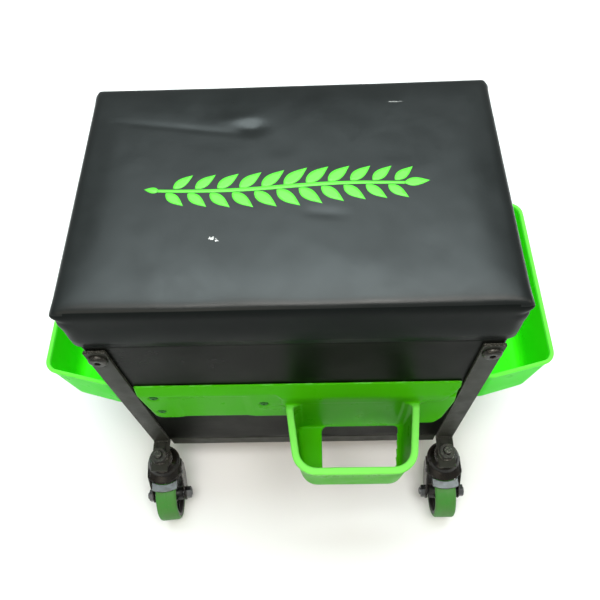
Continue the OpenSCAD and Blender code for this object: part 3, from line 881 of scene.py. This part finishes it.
def side_tray(name, node, side):
    """An open tub with a drawn-in floor, soft fillets and a beaded rim."""
    lo, hi = node_box(node)
    x0 = SIDE_X
    x1 = max(abs(lo[0]), abs(hi[0]))
    y1 = hi[1]
    z0, z1 = lo[2], hi[2]
    wall = 2.8
    lip = 1.3

    def plan(t):
        """Outline at a share t of the height: widest at the box, and drawn in lower down."""
        back = y1 + 2.8 - 1.5 * (1 - t) - lip
        front = y1 - 17 - 0.5 * (1 - t) - lip
        out = x1 - 10 * (1 - t) - lip
        corners = [(x0, -back), (out, -front), (out, front), (x0, back)]
        return outline(corners, [12, 14, 14, 12], 10, 14)

    profile = [(7, z0), (2.4, z0 + 0.2), (0.9, z0 + 1.0), (0.1, z0 + 2.8), (0, z0 + 5)]
    profile += [(0, z0 + 7 + (z1 - z0 - 13) * k / 6) for k in range(1, 7)]
    profile += [(-0.3, z1 - 4.4), (-lip, z1 - 3.2), (-lip, z1 - 1.4), (-0.7, z1 - 0.4), (0.4, z1)]
    profile += [(1.8, z1), (2.6, z1 - 0.5), (wall, z1 - 1.6)]
    profile += [(wall, z1 - 4 - (z1 - z0 - 16) * k / 6) for k in range(7)]
    profile += [(wall + 1, z0 + wall + 5), (wall + 3.4, z0 + wall + 1.6),
                (wall + 7, z0 + wall + 0.2), (wall + 14, z0 + wall)]
    rings = []
    for amount, z in profile:
        t = (z - z0) / (z1 - z0)
        points = inset(plan(t), amount)
        rings.append([P(side * max(p.x, x0 + 0.05), p.y, z) for p in points])
    obj = make(name, *loft(rings), MAT["tray_plastic"])
    rounded = obj.modifiers.new("subdivide", "SUBSURF")
    rounded.levels = 1
    rounded.render_levels = 1
    place(obj, "base", "tray_plastic", node)


def prism(corners, radii, y_back, front_at):
    """A slab on the box face from its upright outline, whose front may depend on the height."""
    plan = outline(corners, radii, 8, 6)
    rings = [[P(p.x, y_back, p.y) for p in inset(plan, 0)]]
    for amount, behind in ((0, 1.2), (0.5, 0.3), (1.4, 0.0)):
        rings.append([P(p.x, front_at(p.y) + behind, p.y) for p in inset(plan, amount)])
    return loft(rings)


def bin_outline(amount):
    """The bin's plan drawn in by an amount: round outer corners, and sides that taper."""
    x0, x1, y_out = BIN
    taper, full, lean, neck = 6, 25, 0.1, 9
    corner = full - amount
    near = [(x0 + taper + full, y_out + full), (x1 - taper - full, y_out + full)]
    points = [Vector((x0 + amount, -FACE_Y - CLEAR)), Vector((x0 + amount, -FACE_Y - neck))]
    for (cx, cy), first in zip(near, (math.pi + lean, 1.5 * math.pi)):
        for k in range(13):
            a = first + (math.pi / 2 - lean) * k / 12
            points.append(Vector((cx + corner * math.cos(a), cy + corner * math.sin(a))))
    points += [Vector((x1 - amount, -FACE_Y - neck)), Vector((x1 - amount, -FACE_Y - CLEAR))]
    return points


def resampled(points, count):
    """The same closed loop with evenly spaced points, from its first one on."""
    loop = points + [points[0]]
    lengths = [0.0]
    for a, b in zip(loop, loop[1:]):
        lengths.append(lengths[-1] + (b - a).length)
    made, at = [], 0
    for k in range(count):
        want = lengths[-1] * k / count
        while lengths[at + 1] < want:
            at += 1
        share = (want - lengths[at]) / (lengths[at + 1] - lengths[at])
        made.append(loop[at].lerp(loop[at + 1], share))
    return made


def bin_hole(count):
    """Rings of the opening through the bin's floor, from its lower edge up."""
    z0, wall, back = BIN_FLOOR, BIN_WALL, -FACE_Y - 8.5
    left, right, deep = 24, 110, 57
    hole = outline([(left, back - deep), (right, back - deep), (right, back), (left, back)],
                   [13, 13, 6, 6], 10, 12)
    rings = []
    for amount, z in ((-0.5, z0), (0, z0 + 0.6), (0, z0 + wall - 0.6), (-0.5, z0 + wall)):
        loop = inset(hole, amount)
        start = max(range(len(loop)), key=lambda i: loop[i].y - loop[i].x)
        rings.append([P(p.x, p.y, z) for p in resampled(loop[start:] + loop[:start], count)])
    return rings


def bin_shell():
    """The bin: a tapered tub with a rolled rim and an opening through its floor."""
    z0, z1, wall = BIN_FLOOR, BIN_RIM, BIN_WALL
    roll, draft, count = 2.3, 5, 140
    inner = [(wall + 6, z0 + wall), (wall + 2.6, z0 + wall + 1.0), (wall + 0.8, z0 + wall + 3),
             (wall, z0 + wall + 6), (wall, z0 + 40), (wall, z1 - 8), (wall + 1.4, z1 - 5.5),
             (wall + 2.2, z1 - 3), (wall + 2.2, z1 - 1.0), (wall + 1.6, z1 - 0.2), (wall, z1)]
    outer = [(-1.0, z1 + 0.05), (-1.9, z1 - 0.3), (-roll, z1 - 1.4), (-roll, z1 - 4.4),
             (-1.4, z1 - 6.2), (0, z1 - 7.4), (0, z0 + 40), (0, z0 + 4), (0.6, z0 + 1.4), (2.2, z0)]
    rings = bin_hole(count)
    for amount, z in inner + outer:
        t = (z - z0) / (z1 - z0)
        loop = bin_outline(draft * (1 - t) + roll + amount)
        rings.append([P(p.x, p.y, z) for p in resampled(loop, count)])
    return loft(rings, closed=True)


def web(x, side, z, thick, depth, reach):
    """Rounded web in the corner between the plate and one side of the bin."""
    start = -FACE_Y - depth
    ring = [(x, start), (x, start - reach - 4)]
    for k in range(9):
        a = math.pi / 2 * k / 8
        ring.append((x + side * reach * (1 - math.cos(a)), start - reach - 4 + reach * math.sin(a)))
    ring.append((x + side * reach, start))
    if side > 0:
        ring.reverse()
    rings = [[P(px, py, level) for px, py in ring] for level in (z - thick, z)]
    return loft(rings)


def organiser_parts():
    """The front tray's plate, sloping ledge, two fields, bin and webs, as separate shells."""
    hi = node_box("front_tray")[1]
    top, half, low, edge, bend = hi[2], hi[0], 187, 252.5, 244.5
    back = -FACE_Y - CLEAR
    x0, x1, _ = BIN
    back_low, web_top = 156, BIN_RIM - 0.6
    web_high = BIN_RIM - back_low - 2

    def flat(depth):
        return lambda z: back - depth

    def sloping(z):
        return back - 1.8 - (top - z) * 0.27

    plate, pad, wall, full = flat(2.9), flat(6.0), flat(7.8), flat(8.1)
    ledge = [(-half, edge), (-28, edge), (-20.5, 249.5), (-17.5, bend), (153, bend), (half, 258),
             (half, top), (-half, top)]
    apron = [(-16, BIN_RIM - 1), (146, BIN_RIM - 1), (153, bend + 0.5), (-17.5, bend + 0.5),
             (-16, 240)]
    left_plate = [(-155, low), (-14, low), (-14, top - 8), (-half, top - 8)]
    right_plate = [(112, 206), (half, 222), (half, top - 8), (112, top - 8)]
    bin_back = [(x0 + 6, back_low), (x1 - 6, back_low), (x1 - 6, BIN_RIM), (x0 + 6, BIN_RIM)]
    left_field = [(-154, low), (-6.8, low), (-8.4, edge + 1), (-half, edge + 1)]
    right_field = [(115.8, 155), (149, 155), (155.5, 172), (half, 222), (half - 1, 240),
                   (120.2, 232)]
    return [
        prism(left_plate, [6, 2, 2, 2], back, plate),
        prism(right_plate, [2] * 4, back, plate),
        prism(ledge, [1, 3, 3, 1, 2, 4, 1, 1], back, sloping),
        prism(apron, [1, 5, 2, 1, 1], back, full),
        prism(bin_back, [1] * 4, back, wall),
        prism(left_field, [9, 1, 2, 1], back, pad),
        prism(right_field, [1, 5, 8, 4, 2, 1], back, pad),
        bin_shell(),
        web(x0 + 4, -1, web_top, 5.5, 2, 11),
        web(x1 - 4, 1, web_top, 5.5, 2, 11),
        web(x0 + 4.5, 1, web_top, web_high, 5, 11),
        web(x1 - 4.5, -1, web_top, web_high, 5, 11),
    ]


def dished(x, z):
    """How far the left field's front is set back, in millimetres: screw seats and a dish."""
    seat_r, dish_left, dish_right, dish_top, soft = 6, -131, -47, 249, 9
    back = 0.0
    for cx, cz in TRAY_SCREWS:
        back += 1.8 * clamp((seat_r - math.hypot(x - cx, z - cz)) / 1.6)
    across = clamp(min((x - dish_left) / soft, (dish_right - x) / soft))
    return back + 1.1 * across * clamp((dish_top - z) / 3)


def front_tray():
    """The front tray in one moulding, with its screw seats and a shallow dish between them."""
    obj = join("front_organiser", organiser_parts())
    remesh(obj, 1.15, 4)
    for vertex in obj.data.vertices:
        x, y, z = vertex.co.x / MM, (vertex.co.y - MID_Y) / MM, vertex.co.z / MM
        if -FACE_Y - 7.0 < y < -FACE_Y - 4.6:
            vertex.co.y += dished(x, z) * MM
    # The darker copy of the tray plastic is painted shade.
    paint(obj, ORGANISER_PAINTED_SHADE)
    place(obj, "base", "tray_plastic", "front_tray")


# ---- fasteners -------------------------------------------------------------


def button_screw(at, out, radius, height, shank, depth, socket):
    """A domed screw head with a hexagon socket and a plain shank behind it."""
    out = out.normalized()
    across = out.orthogonal().normalized()
    up = out.cross(across)
    count = 36

    def circle(r, rise, sides=0):
        ring = []
        for k in range(count):
            a = 2 * math.pi * k / count
            reach = r
            if sides:
                step = 2 * math.pi / sides
                reach = r * math.cos(step / 2) / math.cos((a % step) - step / 2)
            ring.append(at + (across * math.cos(a) + up * math.sin(a)) * reach * MM + out * rise * MM)
        return ring

    low, steep = 0.16, 1.25
    rings = [circle(shank, -depth), circle(shank, 0), circle(radius * 0.97, 0),
             circle(radius, height * low)]
    for a in (0.35, 0.7, 1.0, steep):
        share = low + (1 - low) * math.sin(a) / math.sin(steep)
        rings.append(circle(radius * (0.5 + 0.5 * math.cos(a)), height * share))
    rings += [circle(socket * 1.1, height), circle(socket, height * 0.94, 6),
              circle(socket * 0.97, height * 0.35, 6)]
    return loft(rings)


def screws(name, body, slot, node, heads, material=None):
    """Several screws as one piece, in the place of their CAD node."""
    obj = join(name, [button_screw(*head) for head in heads], material or MAT[slot])
    split_edges(obj, 50)
    place(obj, body, slot, node)


def all_screws():
    """Heads of the leg, front tray and side tray screws."""
    leg_z = (node_box("leg_screws")[0][2] + node_box("leg_screws")[1][2]) / 2
    leg_x = (LEG[0][0] + LEG[1][0]) / 2
    leg_face = -LEG[0][1]
    screws("leg_screw_heads", "base", "dark_fasteners", "leg_screws",
           [(P(sx * leg_x, sy * leg_face, leg_z), Vector((0, sy, 0)), 9, 4.3, 4, 20, 3.1)
            for sx, sy in CORNERS])
    screws("front_tray_screw_heads", "base", "dark_fasteners", "front_tray_screws",
           [(P(x, -FACE_Y - 4.6, z), Vector((0, -1, 0)), 4.3, 1.7, 2, 8, 1.6)
            for x, z in TRAY_SCREWS], dark_green_screw_heads())
    lo, hi = node_box("side_tray_screws")
    screws("side_tray_screw_heads", "base", "zinc", "side_tray_screws",
           [(P(s * (SIDE_X + 2.85), y, (lo[2] + hi[2]) / 2), Vector((s, 0, 0)), 4.4, 2.1, 2, 7, 1.7)
            for s in (-1, 1) for y in (lo[1] + 4.5, hi[1] - 4.5)])


# ---- casters ---------------------------------------------------------------

# Half the tread's width, and the ribs on each side of a hub
TREAD_HALF, RIBS = 12.5, 5


def joint(name):
    return next(j for j in frame["joints"] if j["name"] == name)


def axle_frame(corner):
    """Matrix whose Z runs along a wheel's axle, at the wheel's middle."""
    roll = joint("roll_" + corner)
    z = Vector(roll["axis"]).normalized()
    y = Vector((0, 0, 1))
    x = y.cross(z)
    made = Matrix((x, y, z)).transposed().to_4x4()
    made.translation = Vector(roll["pos_m"])
    return made


def lathe(profile, segments, wobble=None):
    """Rings of a profile of (radius, height) pairs turned about Z."""
    rings = []
    for radius, height in profile:
        ring = []
        for k in range(segments):
            a = 2 * math.pi * k / segments
            r = radius + (wobble(a, height) if wobble else 0)
            ring.append(Vector((r * math.cos(a) * MM, r * math.sin(a) * MM, height * MM)))
        rings.append(ring)
    return loft(rings, closed=True)


def worn(a, height):
    """Shallow wear of a tread at an angle and a height across it, in millimetres."""
    point = Vector((math.cos(a) * 3, math.sin(a) * 3, height / 6))
    return -0.16 * max(0.0, noise.noise(point)) if abs(height) < TREAD_HALF - 1 else 0.0


def tread(corner):
    """A wheel's tyre: round-shouldered, with a faint mould line around its middle."""
    lo, hi = node_box("tread_" + corner)
    radius = (hi[2] - lo[2]) / 2
    half, round_r, inner = TREAD_HALF, 3.2, 28.05
    profile = [(inner, -half + 0.6), (inner + 0.5, -half)]
    for k in range(9):
        a = math.pi / 2 * k / 8
        profile.append((radius - round_r + round_r * math.sin(a),
                        -half + round_r - round_r * math.cos(a)))
    profile += [(radius, h) for h in (-5, -2.2, -0.5)]
    profile += [(radius - 0.12, 0)]
    profile += [(r, -h) for r, h in reversed(profile[:-1])]
    obj = make("tread_" + corner + "_ring", *lathe(profile, 128, worn), MAT["tread_green"])
    obj.matrix_world = axle_frame(corner)
    place(obj, "wheel_" + corner, "tread_green", "tread_" + corner)


def hub_rib(a, side):
    """One rib from the boss to the rim, at an angle and on one side of the web."""
    c, s = math.cos(a), math.sin(a)
    rings = []
    for r, low, high, half in ((8.0, 3.0, 11.5, 1.2), (15, 2.8, 9.6, 1.0), (24.4, 3.0, 9.0, 1.1)):
        section = ((-half, low), (half, low), (half * 0.7, high), (-half * 0.7, high))
        rings.append([Vector((r * c - across * s, r * s + across * c, side * height)) * MM
                      for across, height in section])
    return loft(rings)


def hub(corner):
    """Rim, dished web with ribs on both sides, and the boss on the axle."""
    half_boss = 16.5
    profile = [(4.06, -half_boss), (7.6, -half_boss), (8.2, -half_boss + 0.6), (9.2, -4.6),
               (10.5, -3.8), (21.8, -3.4), (23.4, -4.6), (24.0, -11.0), (24.8, -11.9),
               (26.4, -12.3), (27.5, -12.2), (28.0, -11.6)]
    profile += [(r, -h) for r, h in reversed(profile)]
    parts = [lathe(profile, 72)]
    parts += [hub_rib(2 * math.pi * k / RIBS, side) for k in range(RIBS) for side in (-1, 1)]
    obj = join("hub_" + corner + "_wheel", parts, MAT["hub_plastic"])
    split_edges(obj, 45)
    obj.matrix_world = axle_frame(corner)
    place(obj, "wheel_" + corner, "hub_plastic", "hub_" + corner)


def pressed(node, name, body, slot, voxel, rounds):
    """A CAD node's shape with the soft edges of pressed and painted steel."""
    obj = copy_node(node, name)
    remesh(obj, voxel, rounds)
    paint(obj, MAT[slot])
    place(obj, body, slot, node)


def casters():
    """Tyre, hub and fork for each corner, and the brake's stamping where there is one."""
    for corner in CASTERS:
        tread(corner)
        hub(corner)
        pressed("fork_" + corner, "fork_" + corner + "_pressing", "swivel_" + corner,
                "caster_black", 0.7, 5)
        if "brake_" + corner in frame["bodies"]:
            pressed("brake_lever_" + corner, "brake_" + corner + "_stamping", "brake_" + corner,
                    "zinc", 0.4, 1)


def weld_bead(sx, sy, rng):
    """A wavy bead along one leg's foot, thin at both ends."""
    z = LEG[0][2]
    face = sy * (-LEG[0][1])
    x0, x1 = sx * LEG[0][0], sx * LEG[1][0]
    steps, sides, off = 26, 10, 0.2
    rings = []
    for k in range(steps + 1):
        x = x0 + (x1 - x0) * k / steps
        end = min(1, 0.3 + k / 2, 0.3 + (steps - k) / 2)
        size = (1.55 + 0.35 * math.sin(k * 1.9) + 0.15 * rng.random()) * end
        angles = [2 * math.pi * m / sides for m in range(sides)]
        rings.append([P(x, face + sy * (off + size * math.cos(a)), z + off + size * math.sin(a))
                      for a in angles])
    return loft(rings)


def weld_beads():
    """Fillet welds where the legs stand on the rails' tabs."""
    rng = random.Random(7)
    obj = join("weld_beads", [weld_bead(sx, sy, rng) for sx, sy in CORNERS], MAT["frame_steel"])
    place(obj, "base", "frame_steel")


# ---- stage -----------------------------------------------------------------


# The camera's place, its angles down, left and tilted, and its lens
CAMERA_AT = (21.8, -349.5, 832.7)
CAMERA_ANGLES = (60.66, -3.24, -4.03)
CAMERA_LENS = 37.22


def look_matrix(place_mm, pitch, yaw, roll):
    """Camera matrix from its place, and its angles down, left and tilted, in degrees."""
    p, y, r = (math.radians(a) for a in (pitch, yaw, roll))
    forward = Vector((math.sin(y) * math.cos(p), math.cos(y) * math.cos(p), -math.sin(p)))
    right = Vector((math.cos(y), -math.sin(y), 0))
    up = right.cross(forward)
    right_rolled = right * math.cos(r) + up * math.sin(r)
    up_rolled = up * math.cos(r) - right * math.sin(r)
    made = Matrix((right_rolled, up_rolled, -forward)).transposed().to_4x4()
    made.translation = P(*place_mm)
    return made


def camera():
    """The camera, at the photograph's viewing angle."""
    data = bpy.data.cameras.new("camera")
    data.sensor_width = 36
    data.lens = CAMERA_LENS
    data.clip_start = 0.02
    obj = bpy.data.objects.new("camera", data)
    bpy.context.scene.collection.objects.link(obj)
    obj.matrix_world = look_matrix(CAMERA_AT, *CAMERA_ANGLES)
    bpy.context.scene.camera = obj


def area_light(name, at, towards, size, power, color):
    """A rectangular light, in metres and watts."""
    data = bpy.data.lights.new(name, "AREA")
    data.shape = "RECTANGLE"
    data.size, data.size_y = size
    data.energy = power
    data.color = color
    obj = bpy.data.objects.new(name, data)
    bpy.context.scene.collection.objects.link(obj)
    obj.location = at
    obj.rotation_euler = (Vector(towards) - Vector(at)).to_track_quat("-Z", "Y").to_euler()


def floor():
    s = Shader("floor_paint", (0.86, 0.86, 0.86), 0.7, specular=0.1)
    s.bump(s.noise(30, 4), 0.02, 0.3)
    half = 5.0
    corners = [(-half, -half, 0), (half, -half, 0), (half, half, 0), (-half, half, 0)]
    make("floor", corners, [(0, 1, 2, 3)], s.mat, False)


def stage():
    """White floor, pale surroundings and four soft lights."""
    floor()
    world = bpy.data.worlds.new("studio")
    bpy.context.scene.world = world
    world.use_nodes = True
    background = world.node_tree.nodes["Background"]
    background.inputs["Color"].default_value = (1, 1, 1, 1)
    background.inputs["Strength"].default_value = 0.28
    middle, low = (0, 0, 0.3), (0, 0, 0.25)
    area_light("overhead", (0.0, 0.62, 2.2), middle, (1.7, 1.1), 52, (0.84, 0.98, 1.0))
    area_light("above", (0.1, -0.55, 2.3), middle, (1.5, 0.8), 40, (1.0, 0.98, 0.93))
    area_light("front", (-0.8, -2.3, 1.5), low, (1.4, 1.0), 9, (1.0, 0.9, 0.74))
    area_light("right", (2.1, -0.5, 1.5), low, (0.9, 1.1), 6, (1.0, 0.93, 0.8))
    view = bpy.context.scene.view_settings
    view.view_transform = "Standard"
    view.look = "None"
    view.exposure = 0.0


camera()
stage()
dress_cad_nodes()
top = seat_cushion()
foam_core()
sprig(top)
box_skin()
side_tray("left_tub", "left_tray", -1)
side_tray("right_tub", "right_tray", 1)
front_tray()
all_screws()
casters()
weld_beads()
